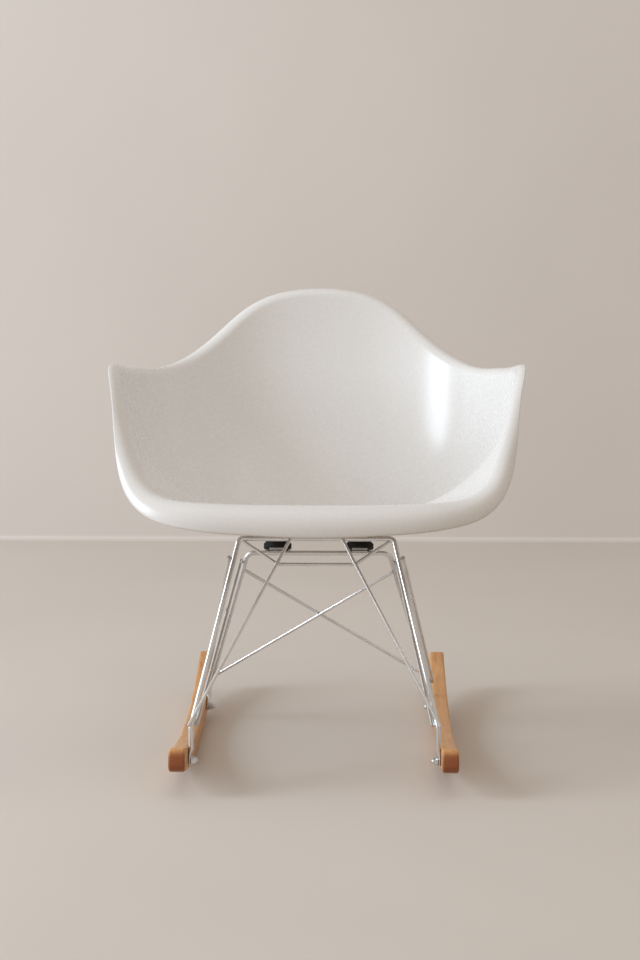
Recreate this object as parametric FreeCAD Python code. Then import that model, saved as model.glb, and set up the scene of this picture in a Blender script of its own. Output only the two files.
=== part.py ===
"""Moulded plastic armchair shell on a wire base with two curved wooden runners.

Millimetres, Z up, the front of the chair towards -Y. The origin is on the floor under the middle of
the runners, where they touch it.
"""
import FreeCAD, Part
import math
import os

Vector = FreeCAD.Vector

# Shell: one moulding whose seat rises towards the front.
SEAT_CENTRE_Z = 341.5
SEAT_TILT = 17.3
WALL = 4.5
EDGE_BULGE = 1.6
WALL_BELLY = 0.09
SEAT_DISC_RADIUS = 12.0

# Rim of the shell, right half, from the middle of the front lip round the arm to the middle of the
# back. Each row: X, Y, Z of the line where the wall starts to roll outwards, how far the seat floor
# runs out before it turns up, the length over which it turns, the radius of the roll and its angle.
RIM_STATIONS = [
    (0, -258, 416.0, 150, 60, 37.5, 115),
    (100, -257, 416.5, 153, 62, 35.0, 115),
    (174, -250, 418.5, 156, 70, 31.5, 115),
    (220, -236, 424.0, 160, 84, 26.5, 112),
    (250, -209, 444.0, 184, 92, 22, 108),
    (266, -178, 487.0, 230, 92, 19.5, 105),
    (279, -146, 540.0, 254, 88, 17.5, 100),
    (295, -112, 583.0, 262, 86, 14.5, 95),
    (299, -78, 591.0, 254, 88, 13.5, 94),
    (288, -12, 580.5, 238, 90, 14, 96),
    (268, 60, 571.0, 218, 90, 15, 98),
    (236, 133, 566.0, 190, 88, 15.5, 98),
    (199, 182, 580.5, 160, 84, 16, 98),
    (148, 226, 622.0, 135, 80, 16, 98),
    (96, 255, 665.0, 118, 78, 16, 100),
    (0, 268, 684.0, 107, 76, 16, 100),
]
SPOKES_PER_STATION = 2
RING_PLACES = [0.28, 0.44, 0.57, 0.7, 0.85, 1.0, 1.33, 1.66, 2.0]

# Bosses, threaded inserts and rubber pads between the shell and the base.
MOUNT_HALF_SPACING = 65.0
BOSS_DIAMETER = 32.0
BOSS_DROP = 10.5
BOSS_REACH = 60.0
BOSS_RING = 7
INSERT_DIAMETER = 9.0
INSERT_LENGTH = 10.0
PAD_DIAMETER = 44.0
PAD_THICKNESS = 12.0
PAD_EDGE_CHAMFER = 1.5
PAD_SHOULDER_DIAMETER = 38.0
PAD_SHOULDER_HEIGHT = 2.0
PLATE_THICKNESS = 3.5
PLATE_WIDTH = 24.0
PLATE_SCREW_OFFSET = 12.0
MOUNT_SCREW_DIAMETER = 6.0
MOUNT_SCREW_HEAD_DIAMETER = 11.0
MOUNT_SCREW_HEAD_HEIGHT = 4.0
HOLE_CLEARANCE = 0.5
FIT_CLEARANCE = 0.05
WASHER_THICKNESS = 1.2
WASHER_WIDTH = 3.0
MOUNT_SCREW_LENGTH = 25.0
MOUNT_SCREW_KEY = 4.0
MOUNT_SCREW_KEY_DEPTH = 2.2
PLATE_TAIL = 6.0

# Wire base.
FRAME_ROD_DIAMETER = 8.0
BRACE_DIAMETER = 6.0
WIRE_DIAMETER = 5.0
FRONT_BAR_ALONG_SEAT = -123.0
REAR_BAR_ALONG_SEAT = 47.5
FRONT_BAR_HALF_WIDTH = 116.5
REAR_BAR_HALF_WIDTH = 112.0
FRONT_CORNER_RADIUS = 9.0
REAR_CORNER_RADIUS = 15.0
FOOT_BEND_RADIUS = 18.0
FRONT_BEND_Z = 89.0
REAR_BEND_Z = 52.0
WELD_GAP = 0.05
FALLING_BRACE_FRONT_Z = 316.0
FALLING_BRACE_REAR_Z = 65.0
RISING_BRACE_REAR_Z = 278.0
RISING_BRACE_FRONT_Z = 95.0
STRUT_TOP_X = 39.5
STRUT_FOOT_Z = 98.0
STRUT_TAIL = 12.0
ZIGZAG_CORNER_X = 58.0
ZIGZAG_DROP = 41.0
ZIGZAG_BEND_RADIUS = 10.0
CROSS_STRUT_TOP_Z = 265.0
CROSS_STRUT_FOOT_Z = 75.0

# Runners: curved bars, bull-nosed at both ends.
RUNNER_HALF_SPACING = 185.0
RUNNER_WIDTH = 24.0
RUNNER_THICKNESS = 34.0
RUNNER_RADIUS = 1450.0
RUNNER_LENGTH = 685.0
RUNNER_NOSE_RADIUS = 13.0
RUNNER_EDGE_CHAMFER = 2.0
FRONT_FOOT_Y = -268.0
REAR_FOOT_Y = 132.0
FRONT_BOLT_Z = 39.0
REAR_BOLT_Z = 22.5

# Flattened feet of the rods and the bolts that hold them to the runners.
TAB_THICKNESS = 4.0
TAB_WIDTH = 14.0
TAB_LENGTH = 24.0
PRESSED_LENGTH = 9.0
BOLT_DIAMETER = 6.0
BOLT_HEAD_DIAMETER = 12.0
BOLT_HEAD_HEIGHT = 3.5
BOLT_HEAD_CHAMFER = 1.2
COUNTERBORE_DEPTH = 4.0
NUT_ACROSS_FLATS = 10.0
NUT_HEX_HEIGHT = 4.5
NUT_DOME_RADIUS = 4.6
NUT_BORE_DEPTH = 6.5
BOLT_LENGTH = 31.0

tilt = math.radians(SEAT_TILT)
seat_centre = Vector(0, 0, SEAT_CENTRE_Z)
seat_up = Vector(0, math.sin(tilt), math.cos(tilt))
seat_frame = FreeCAD.Placement(seat_centre, FreeCAD.Rotation(Vector(1, 0, 0), -SEAT_TILT))
pad_top = -WALL - BOSS_DROP
pad_bottom = pad_top - PAD_THICKNESS
plate_bottom = pad_bottom - PLATE_THICKNESS
bar_level = plate_bottom - FRAME_ROD_DIAMETER / 2
mount_points = [(side * MOUNT_HALF_SPACING, bar + PLATE_SCREW_OFFSET)
                for bar in (FRONT_BAR_ALONG_SEAT, REAR_BAR_ALONG_SEAT) for side in (-1, 1)]


def save(shape, name):
    """Write one named piece as a STEP file."""
    shape.exportStep("parts/" + name + ".step")


def mirrored(shape):
    """Return the piece on the other side of the chair."""
    return shape.mirror(Vector(0, 0, 0), Vector(1, 0, 0))


def unit(vector):
    """Return the vector at length one."""
    return Vector(vector).normalize()


# Shell

def closed_rim():
    """Return every rim station of the whole shell, right half first, then the left half mirrored."""
    left = [(-row[0],) + row[1:] for row in RIM_STATIONS[-2:0:-1]]
    return RIM_STATIONS + left


def closed_curve(points, knots):
    """Return a smooth closed curve that passes each point at its knot."""
    curve = Part.BSplineCurve()
    curve.interpolate(Points=points, PeriodicFlag=True, Parameters=knots)
    return curve


class ClosedSpline:
    """Smooth closed line through values, numbers or vectors, each at its knot."""

    def __init__(self, values, knots):
        self.values = values
        self.knots = knots
        count = len(values)
        gaps = [high - low for low, high in zip(knots, knots[1:])]
        self.slopes = [(values[(i + 1) % count] - values[i - 1]) * (1 / (gaps[i - 1] + gaps[i]))
                       for i in range(count)]
        for _ in range(40):
            for i in range(count):
                low, high, after = 1 / gaps[i - 1], 1 / gaps[i], (i + 1) % count
                pull = ((values[i] - values[i - 1]) * (3 * low * low)
                        + (values[after] - values[i]) * (3 * high * high))
                pull = pull - self.slopes[i - 1] * low - self.slopes[after] * high
                self.slopes[i] = pull * (0.5 / (low + high))

    def span(self, along):
        """Return the number of the span that holds this place, the share of it and its length."""
        along = along % self.knots[-1]
        i = max(k for k in range(len(self.values)) if self.knots[k] <= along)
        length = self.knots[i + 1] - self.knots[i]
        return i, (along - self.knots[i]) / length, length

    def value(self, along):
        """Return the value at this place."""
        i, t, length = self.span(along)
        after = (i + 1) % len(self.values)
        return (self.values[i] * ((1 + 2 * t) * (1 - t) ** 2) + self.values[after] * (t * t * (3 - 2 * t))
                + self.slopes[i] * (length * t * (1 - t) ** 2)
                + self.slopes[after] * (length * t * t * (t - 1)))

    def slope(self, along):
        """Return the slope at this place."""
        i, t, length = self.span(along)
        after = (i + 1) % len(self.values)
        return ((self.values[after] - self.values[i]) * (6 * t * (1 - t) / length)
                + self.slopes[i] * ((1 - t) * (1 - 3 * t)) + self.slopes[after] * (t * (3 * t - 2)))


class ShellSurface:
    """The upper face of the shell, measured along the rim and outwards from the middle of the seat."""

    def __init__(self):
        rows = closed_rim()
        rim = [Vector(*row[:3]) for row in rows]
        self.knots = [0.0]
        for here, after in zip(rim, rim[1:] + rim[:1]):
            self.knots.append(self.knots[-1] + here.distanceToPoint(after))
        self.rim = ClosedSpline(rim, self.knots)
        self.run, self.turn, self.radius, self.angle = (
            ClosedSpline([row[column] for row in rows], self.knots) for column in (3, 4, 5, 6))

    def spoke(self, along):
        """Return the control points of the line from the seat centre out to the rim."""
        rim = self.rim.value(along)
        outwards = unit(Vector(rim.x, rim.y, 0))
        floor_way = outwards - Vector(0, 0, outwards.y * math.tan(tilt))
        heel = seat_centre + floor_way * self.run.value(along)
        turn = self.turn.value(along)
        wall_way = unit(rim - heel)
        start = heel - unit(floor_way) * turn
        end = heel + wall_way * min(turn, 0.5 * rim.distanceToPoint(heel))
        belly = unit(outwards - wall_way * outwards.dot(wall_way))
        belly = belly * (WALL_BELLY * wall_way.z * rim.distanceToPoint(end))
        return [seat_centre, (seat_centre + start) * 0.5, start, end, (end + rim) * 0.5 + belly, rim]

    def wall_point(self, along, out):
        """Return the point on the wall, out from 0 at the seat centre to 1 at the rim."""
        curve = Part.BSplineCurve()
        curve.buildFromPolesMultsKnots(self.spoke(along), [4, 1, 1, 4], [0, 1, 2, 3], False, 3)
        return curve.value(3 * out)

    def roll_point(self, along, turned):
        """Return the point on the rolled rim, turned from 0 at the wall to 1 at the edge."""
        poles = self.spoke(along)
        radius = self.radius.value(along)
        rim_way = unit(self.rim.slope(along))
        wall_way = poles[5] - poles[4]
        wall_way = unit(wall_way - rim_way * wall_way.dot(rim_way))
        outward = rim_way.cross(wall_way)
        arc = math.radians(self.angle.value(along)) * turned
        return poles[5] + wall_way * (radius * math.sin(arc)) + outward * (radius * (1 - math.cos(arc)))

    def point(self, along, out):
        """Return the point at this rim position, with out from 0 to 1 on the wall and to 2 on the roll."""
        return self.wall_point(along, out) if out <= 1 else self.roll_point(along, out - 1)

    def underside(self, along, out):
        """Return the point of the lower face under the point of the upper one."""
        step = 0.004
        outer = min(out + step, 2.0)
        across = self.point(along, outer) - self.point(along, outer - 2 * step)
        around = self.point(along + 1, out) - self.point(along - 1, out)
        return self.point(along, out) + unit(around.cross(across)) * WALL

    def positions(self):
        """Return the rim positions of the spokes, evenly spaced between each two stations."""
        shares = [share / SPOKES_PER_STATION for share in range(SPOKES_PER_STATION)]
        pairs = zip(self.knots, self.knots[1:])
        return [low + (high - low) * share for low, high in pairs for share in shares]


def strip(ring_a, ring_b):
    """Return the narrow face between two closed rings."""
    knots = [i / len(ring_a) for i in range(len(ring_a) + 1)]
    edges = [closed_curve(ring, knots).toShape() for ring in (ring_a, ring_b)]
    return Part.makeRuledSurface(*edges)


def shell_rings():
    """Return the closed rings of the moulding, over the upper face, round the edge and back below."""
    form = ShellSurface()
    places = form.positions()
    flat = []
    for along in places:
        way = form.spoke(along)[2] - seat_centre
        flat.append(seat_centre + unit(way) * SEAT_DISC_RADIUS)
    upper = [flat] + [[form.point(along, out) for along in places] for out in RING_PLACES]
    lower = [[point - seat_up * WALL for point in flat]]
    lower += [[form.underside(along, out) for along in places] for out in RING_PLACES]
    edge_out = [unit(a - b) for a, b in zip(upper[-1], upper[-2])]
    middle = [(a + b) * 0.5 + way * EDGE_BULGE for a, b, way in zip(upper[-1], lower[-1], edge_out)]
    return upper + [middle] + lower[::-1]


def make_shell_wall(rings):
    """Return the moulding without its bosses."""
    faces = [strip(one, two) for one, two in zip(rings, rings[1:])]
    for ring in (rings[0], rings[-1]):
        knots = [i / len(ring) for i in range(len(ring) + 1)]
        faces.append(Part.Face(Part.Wire(closed_curve(ring, knots).toShape())))
    wall = Part.makeCompound(faces)
    wall.sewShape()
    return Part.makeSolid(wall.Shells[0])


def make_bosses(rings):
    """Return the four round bosses under the seat, each ending inside the wall above it."""
    floor = [strip(one, two) for one, two in zip(rings, rings[1:BOSS_RING])]
    bosses = []
    for x, y in mount_points:
        if x < 0:
            continue
        boss = Part.makeCylinder(BOSS_DIAMETER / 2, BOSS_REACH, Vector(x, y, pad_top))
        boss = boss.transformGeometry(seat_frame.toMatrix())
        for face in floor:
            face = face.translated(seat_up * (-WALL / 2))
            boss = boss.cut(face.extrude(seat_up * (2 * BOSS_REACH)))
        boss = max(boss.Solids, key=lambda solid: solid.Volume)
        bosses += [boss, mirrored(boss)]
    return bosses


def make_seat_shell():
    """Return the moulding with its four bosses, each bored for an insert."""
    rings = shell_rings()
    shell = make_shell_wall(rings)
    for boss in make_bosses(rings):
        shell = shell.fuse(boss)
    for x, y in mount_points:
        shell = shell.cut(upright(INSERT_DIAMETER + FIT_CLEARANCE * 2, x, y, pad_top, INSERT_LENGTH))
    return shell


# Mounts

def upright(diameter, x, y, bottom, height):
    """Return a cylinder square to the seat, placed in the seat's own frame."""
    cylinder = Part.makeCylinder(diameter / 2, height, Vector(x, y, bottom))
    cylinder.Placement = seat_frame.multiply(cylinder.Placement)
    return cylinder


def ring(diameter, hole, x, y, bottom, height):
    """Return a cylinder with a hole through it, square to the seat."""
    return upright(diameter, x, y, bottom, height).cut(upright(hole, x, y, bottom, height))


def make_insert(x, y):
    """Return one threaded insert, flush with the underside of its boss."""
    return ring(INSERT_DIAMETER, MOUNT_SCREW_DIAMETER + FIT_CLEARANCE * 2, x, y, pad_top, INSERT_LENGTH)


def make_pad(x, y):
    """Return one rubber pad with its narrower shoulder under the boss."""
    hole = (MOUNT_SCREW_DIAMETER + HOLE_CLEARANCE) / 2
    radius, shoulder = PAD_DIAMETER / 2, PAD_SHOULDER_DIAMETER / 2
    edge, step = PAD_EDGE_CHAMFER, pad_top - PAD_SHOULDER_HEIGHT
    outline = [(hole, pad_bottom), (radius - edge, pad_bottom), (radius, pad_bottom + edge),
               (radius, step - edge), (radius - edge, step), (shoulder, step), (shoulder, pad_top),
               (hole, pad_top), (hole, pad_bottom)]
    section = Part.Face(Part.makePolygon([Vector(out, 0, up) for out, up in outline]))
    pad = section.revolve(Vector(0, 0, 0), Vector(0, 0, 1), 360)
    pad.Placement = seat_frame.multiply(FreeCAD.Placement(Vector(x, y, 0), FreeCAD.Rotation()))
    return pad


def make_plate(x, y):
    """Return one steel plate, round over the screw and welded to the bar by its square end."""
    half = PLATE_WIDTH / 2
    tail = y - PLATE_SCREW_OFFSET - PLATE_TAIL
    sides = Part.makePolygon([Vector(x - half, y, plate_bottom), Vector(x - half, tail, plate_bottom),
                              Vector(x + half, tail, plate_bottom), Vector(x + half, y, plate_bottom)])
    end = Part.Arc(Vector(x + half, y, plate_bottom), Vector(x, y + half, plate_bottom),
                   Vector(x - half, y, plate_bottom)).toShape()
    plate = Part.Face(Part.Wire(sides.Edges + [end])).extrude(Vector(0, 0, PLATE_THICKNESS))
    plate.Placement = seat_frame
    hole = MOUNT_SCREW_DIAMETER + HOLE_CLEARANCE
    return plate.cut(upright(hole, x, y, plate_bottom, PLATE_THICKNESS))


def make_mount_washer(x, y):
    """Return one washer under a mount screw's head."""
    hole = MOUNT_SCREW_DIAMETER + HOLE_CLEARANCE
    return ring(hole + 2 * WASHER_WIDTH, hole, x, y, plate_bottom - WASHER_THICKNESS, WASHER_THICKNESS)


def make_mount_screw(x, y):
    """Return one screw that comes up through plate and pad into its insert."""
    seat = plate_bottom - WASHER_THICKNESS
    screw = upright(MOUNT_SCREW_DIAMETER, x, y, seat, MOUNT_SCREW_LENGTH)
    screw = screw.fuse(upright(MOUNT_SCREW_HEAD_DIAMETER, x, y, seat - MOUNT_SCREW_HEAD_HEIGHT,
                               MOUNT_SCREW_HEAD_HEIGHT))
    key = hexagon(MOUNT_SCREW_KEY).extrude(Vector(0, 0, MOUNT_SCREW_KEY_DEPTH))
    key.translate(Vector(x, y, seat - MOUNT_SCREW_HEAD_HEIGHT))
    key.Placement = seat_frame.multiply(key.Placement)
    return screw.cut(key)


def hexagon(across_flats):
    """Return a flat hexagon at the origin."""
    corner = across_flats / math.sqrt(3)
    points = [Vector(corner * math.cos(math.radians(60 * i)), corner * math.sin(math.radians(60 * i)), 0)
              for i in range(7)]
    return Part.Face(Part.makePolygon(points))


# Wire base

def bent_rod(points, radii, diameter):
    """Return a round rod along straight lines joined by arcs, one radius for each inner point."""
    edges = []
    start = points[0]
    for before, corner, after, radius in zip(points, points[1:], points[2:], radii):
        back, ahead = unit(before - corner), unit(after - corner)
        half = back.getAngle(ahead) / 2
        entry = corner + back * (radius / math.tan(half))
        leave = corner + ahead * (radius / math.tan(half))
        middle = corner + unit(back + ahead) * (radius / math.sin(half) - radius)
        edges += [Part.makeLine(start, entry), Part.Arc(entry, middle, leave).toShape()]
        start = leave
    edges.append(Part.makeLine(start, points[-1]))
    section = Part.Wire(Part.makeCircle(diameter / 2, points[0], points[1] - points[0]))
    return Part.Wire(edges).makePipeShell([section], True, True)


def straight_rod(start, end, diameter):
    """Return a round rod between two points."""
    return Part.makeCylinder(diameter / 2, start.distanceToPoint(end), start, end - start)


class Leg:
    """Centre line of one sloping leg, from its upper corner down to the bend above its foot."""

    def __init__(self, corner, bend):
        self.corner = corner
        self.bend = bend
        self.way = unit(bend - corner)

    def at(self, z):
        """Return the point of the centre line at this height."""
        return self.corner + self.way * ((z - self.corner.z) / self.way.z)


def lapped_rod(first, second, diameter, tails):
    """Return a rod welded against the sides of two legs.

    Each end is a leg, the height of the weld and the side of the leg that it lies on.
    """
    apart = (FRAME_ROD_DIAMETER + diameter) / 2 + WELD_GAP
    ends = [leg.at(z) for leg, z, _ in (first, second)]
    for _ in range(5):
        way = unit(ends[1] - ends[0])
        ends = []
        for leg, z, side in (first, second):
            off = unit(leg.way.cross(way))
            ends.append(leg.at(z) + off * (apart if off.dot(side) > 0 else -apart))
    way = unit(ends[1] - ends[0])
    return straight_rod(ends[0] - way * tails[0], ends[1] + way * tails[1], diameter)


def coped(rod, against):
    """Return the rod cut to the faces of what it is welded to."""
    return max(rod.cut(against).Solids, key=lambda solid: solid.Volume)


def in_seat(x, y, z):
    """Return the place of a point given in the seat's own frame."""
    return seat_frame.multVec(Vector(x, y, z))


foot_x = RUNNER_HALF_SPACING - FRAME_ROD_DIAMETER / 2
front_leg = Leg(in_seat(FRONT_BAR_HALF_WIDTH, FRONT_BAR_ALONG_SEAT, bar_level),
                Vector(foot_x, FRONT_FOOT_Y, FRONT_BEND_Z))
rear_leg = Leg(in_seat(REAR_BAR_HALF_WIDTH, REAR_BAR_ALONG_SEAT, bar_level),
               Vector(foot_x, REAR_FOOT_Y, REAR_BEND_Z))


def make_foot(y, bolt_z):
    """Return the pressed end of a rod: round above, flat against the runner below, with its hole."""
    end = bolt_z - TAB_WIDTH / 2
    top = end + TAB_LENGTH
    flat_top = top - PRESSED_LENGTH
    radius = FRAME_ROD_DIAMETER / 2
    inner = RUNNER_HALF_SPACING - TAB_THICKNESS
    turns = [math.radians(angle) for angle in (45, 90, 135, 180, 225, 270, 315, 360, 405)]
    circle = [Vector(foot_x + radius * math.cos(a), y + radius * math.sin(a), top) for a in turns]
    arcs = [Part.Arc(*circle[i:i + 3]).toShape() for i in (0, 2, 4, 6)]
    half = TAB_WIDTH / 2
    flat = Part.makePolygon([Vector(RUNNER_HALF_SPACING, y + half, flat_top), Vector(inner, y + half, flat_top),
                             Vector(inner, y - half, flat_top), Vector(RUNNER_HALF_SPACING, y - half, flat_top),
                             Vector(RUNNER_HALF_SPACING, y + half, flat_top)])
    pressed = Part.makeLoft([Part.Wire(arcs), flat], True, True)
    tab = Part.makeBox(TAB_THICKNESS, TAB_WIDTH, flat_top - bolt_z, Vector(inner, y - half, bolt_z))
    tab = tab.fuse(crosswise(TAB_WIDTH, y, bolt_z, inner, RUNNER_HALF_SPACING))
    foot = pressed.fuse(tab).removeSplitter()
    return foot.cut(crosswise(BOLT_DIAMETER + HOLE_CLEARANCE, y, bolt_z, inner, RUNNER_HALF_SPACING))


def crosswise(diameter, y, z, inner, outer):
    """Return a cylinder across the right runner, between two distances from the middle of the chair."""
    return Part.makeCylinder(diameter / 2, outer - inner, Vector(inner, y, z), Vector(1, 0, 0))


def make_frame_rod(leg, corner_radius, bolt_z):
    """Return one bent rod: the bar under the seat, two legs and two pressed feet."""
    foot_top = Vector(leg.bend.x, leg.bend.y, bolt_z - TAB_WIDTH / 2 + TAB_LENGTH)
    right = [foot_top, leg.bend, leg.corner]
    left = [Vector(-point.x, point.y, point.z) for point in reversed(right)]
    radii = [FOOT_BEND_RADIUS, corner_radius, corner_radius, FOOT_BEND_RADIUS]
    rod = bent_rod(right + left, radii, FRAME_ROD_DIAMETER)
    foot = make_foot(leg.bend.y, bolt_z)
    return rod.fuse(foot).fuse(mirrored(foot))


def make_front_strut(front_frame):
    """Return the right wire from the front bar down across the front of the leg."""
    drop = unit(front_leg.way - Vector(front_leg.way.x, 0, 0))
    ahead = Vector(1, 0, 0).cross(drop) * -1
    bar = Vector(STRUT_TOP_X, front_leg.corner.y, front_leg.corner.z)
    top = bar + ahead * (WIRE_DIAMETER + WELD_GAP)
    foot = front_leg.at(STRUT_FOOT_Z) + ahead * ((FRAME_ROD_DIAMETER + WIRE_DIAMETER) / 2 + WELD_GAP)
    way = unit(foot - top)
    return coped(straight_rod(top, foot + way * STRUT_TAIL, WIRE_DIAMETER), front_frame)


def make_zigzag_strut(front_frame):
    """Return the wire that dips from one front corner to a level run and up to the other corner."""
    drop = unit(front_leg.way - Vector(front_leg.way.x, 0, 0))
    low = Vector(ZIGZAG_CORNER_X, front_leg.corner.y, front_leg.corner.z) + drop * ZIGZAG_DROP
    right = [front_leg.corner, low]
    left = [Vector(-point.x, point.y, point.z) for point in reversed(right)]
    wire = bent_rod(right + left, [ZIGZAG_BEND_RADIUS] * 2, WIRE_DIAMETER)
    return coped(wire, front_frame)


def make_cross_strut(rear_frame, side):
    """Return one wire of the cross between the rear legs, side 1 in front rising to the right."""
    drop = unit(rear_leg.way - Vector(rear_leg.way.x, 0, 0))
    ahead = Vector(1, 0, 0).cross(drop) * -1
    off = ahead * (side * (WIRE_DIAMETER + WELD_GAP * 2) / 2)
    top, foot = rear_leg.at(CROSS_STRUT_TOP_Z), rear_leg.at(CROSS_STRUT_FOOT_Z)
    top, foot = Vector(top.x * side, top.y, top.z), Vector(-foot.x * side, foot.y, foot.z)
    return coped(straight_rod(top + off, foot + off, WIRE_DIAMETER), rear_frame)


# Runners and their bolts

bolt_places = [(FRONT_FOOT_Y, FRONT_BOLT_Z), (REAR_FOOT_Y, REAR_BOLT_Z)]
runner_outer = RUNNER_HALF_SPACING + RUNNER_WIDTH
bolt_seat = runner_outer - COUNTERBORE_DEPTH
tab_inner = RUNNER_HALF_SPACING - TAB_THICKNESS
nut_seat = tab_inner - WASHER_THICKNESS


def make_runner():
    """Return the right runner: a bent bar, bull-nosed, with its edges eased and its bolt holes."""
    centre = Vector(RUNNER_HALF_SPACING, 0, RUNNER_RADIUS)
    lean = math.asin(RUNNER_LENGTH / 2 / RUNNER_RADIUS)

    def on_arc(radius, angle):
        return centre + Vector(0, radius * math.sin(angle), -radius * math.cos(angle))

    inner = RUNNER_RADIUS - RUNNER_THICKNESS
    low = Part.Arc(on_arc(RUNNER_RADIUS, -lean), on_arc(RUNNER_RADIUS, 0), on_arc(RUNNER_RADIUS, lean))
    high = Part.Arc(on_arc(inner, lean), on_arc(inner, 0), on_arc(inner, -lean))
    ends = [Part.makeLine(on_arc(RUNNER_RADIUS, lean), on_arc(inner, lean)),
            Part.makeLine(on_arc(inner, -lean), on_arc(RUNNER_RADIUS, -lean))]
    outline = Part.Wire([low.toShape(), ends[0], high.toShape(), ends[1]])
    bar = Part.Face(outline).extrude(Vector(RUNNER_WIDTH, 0, 0))
    across = [edge for edge in bar.Edges if abs(edge.tangentAt(edge.FirstParameter).x) > 0.9]
    bar = bar.makeFillet(RUNNER_NOSE_RADIUS, across)
    around = [edge for edge in bar.Edges if abs(edge.tangentAt(edge.FirstParameter).x) < 0.1]
    bar = bar.makeChamfer(RUNNER_EDGE_CHAMFER, around)
    for y, z in bolt_places:
        bar = bar.cut(crosswise(BOLT_DIAMETER + HOLE_CLEARANCE, y, z, RUNNER_HALF_SPACING, runner_outer))
        bar = bar.cut(crosswise(BOLT_HEAD_DIAMETER + 2 * HOLE_CLEARANCE, y, z, bolt_seat, runner_outer))
    return bar


def make_runner_bolt(y, z):
    """Return one bolt, its low round head down in the counterbore."""
    shank = crosswise(BOLT_DIAMETER, y, z, bolt_seat - BOLT_LENGTH, bolt_seat)
    head = crosswise(BOLT_HEAD_DIAMETER, y, z, bolt_seat, bolt_seat + BOLT_HEAD_HEIGHT)
    rim = [edge for edge in head.Edges if edge.BoundBox.XMin > bolt_seat + 0.5 and edge.Closed]
    return shank.fuse(head.makeChamfer(BOLT_HEAD_CHAMFER, rim))


def make_runner_washer(y, z):
    """Return one washer between tab and nut."""
    hole = BOLT_DIAMETER + HOLE_CLEARANCE
    disc = crosswise(hole + 2 * WASHER_WIDTH, y, z, nut_seat, tab_inner)
    return disc.cut(crosswise(hole, y, z, nut_seat, tab_inner))


def make_cap_nut(y, z):
    """Return one domed nut on the inner end of a bolt."""
    nut = hexagon(NUT_ACROSS_FLATS).extrude(Vector(0, 0, NUT_HEX_HEIGHT))
    nut = nut.fuse(Part.makeSphere(NUT_DOME_RADIUS, Vector(0, 0, NUT_HEX_HEIGHT), Vector(0, 0, 1), 0, 90))
    nut = nut.cut(Part.makeCylinder(BOLT_DIAMETER / 2 + FIT_CLEARANCE, NUT_BORE_DEPTH))
    nut.Placement = FreeCAD.Placement(Vector(nut_seat, y, z), FreeCAD.Rotation(Vector(0, 1, 0), -90))
    return nut


def both_sides(shapes):
    """Return the shapes and their mirror images as one group."""
    return Part.makeCompound(shapes + [mirrored(shape) for shape in shapes])


def make_all():
    """Return every piece with its name."""
    front_frame = make_frame_rod(front_leg, FRONT_CORNER_RADIUS, FRONT_BOLT_Z)
    rear_frame = make_frame_rod(rear_leg, REAR_CORNER_RADIUS, REAR_BOLT_Z)
    outer, inner = Vector(1, 0, 0), Vector(-1, 0, 0)
    half = BRACE_DIAMETER / 2
    falling = lapped_rod((front_leg, FALLING_BRACE_FRONT_Z, outer),
                         (rear_leg, FALLING_BRACE_REAR_Z, outer), BRACE_DIAMETER, (half, half))
    rising = lapped_rod((rear_leg, RISING_BRACE_REAR_Z, outer),
                        (front_leg, RISING_BRACE_FRONT_Z, inner), BRACE_DIAMETER, (half, half))
    strut = make_front_strut(front_frame)
    runner = make_runner()
    pieces = {
        "seat_shell": make_seat_shell(),
        "thread_inserts": Part.makeCompound([make_insert(x, y) for x, y in mount_points]),
        "mount_screws": Part.makeCompound([make_mount_screw(x, y) for x, y in mount_points]),
        "mount_screw_washers": Part.makeCompound([make_mount_washer(x, y) for x, y in mount_points]),
        "front_frame_rod": front_frame,
        "rear_frame_rod": rear_frame,
        "left_falling_side_brace": mirrored(falling),
        "right_falling_side_brace": falling,
        "left_rising_side_brace": mirrored(rising),
        "right_rising_side_brace": rising,
        "left_front_strut": mirrored(strut),
        "right_front_strut": strut,
        "front_zigzag_strut": make_zigzag_strut(front_frame),
        "rear_cross_strut_front": make_cross_strut(rear_frame, 1),
        "rear_cross_strut_back": make_cross_strut(rear_frame, -1),
        "left_runner": mirrored(runner),
        "right_runner": runner,
        "runner_bolts": both_sides([make_runner_bolt(y, z) for y, z in bolt_places]),
        "runner_washers": both_sides([make_runner_washer(y, z) for y, z in bolt_places]),
        "runner_cap_nuts": both_sides([make_cap_nut(y, z) for y, z in bolt_places]),
    }
    for x, y in mount_points:
        corner = ("front" if y < 0 else "rear") + ("_left" if x < 0 else "_right")
        pieces[corner + "_mounting_pad"] = make_pad(x, y)
        pieces[corner + "_mount_plate"] = make_plate(x, y)
    return pieces


def main():
    """Build every piece and write it."""
    os.makedirs("parts", exist_ok=True)
    for name, shape in make_all().items():
        save(shape, name)


main()
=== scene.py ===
"""Moulded plastic rocking chair: an armchair shell on a welded wire base with two wooden runners."""
import logging
import math
from collections.abc import Callable
from dataclasses import dataclass, field
from enum import Enum

import bmesh
import bpy
from mathutils import Matrix, Vector


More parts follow.
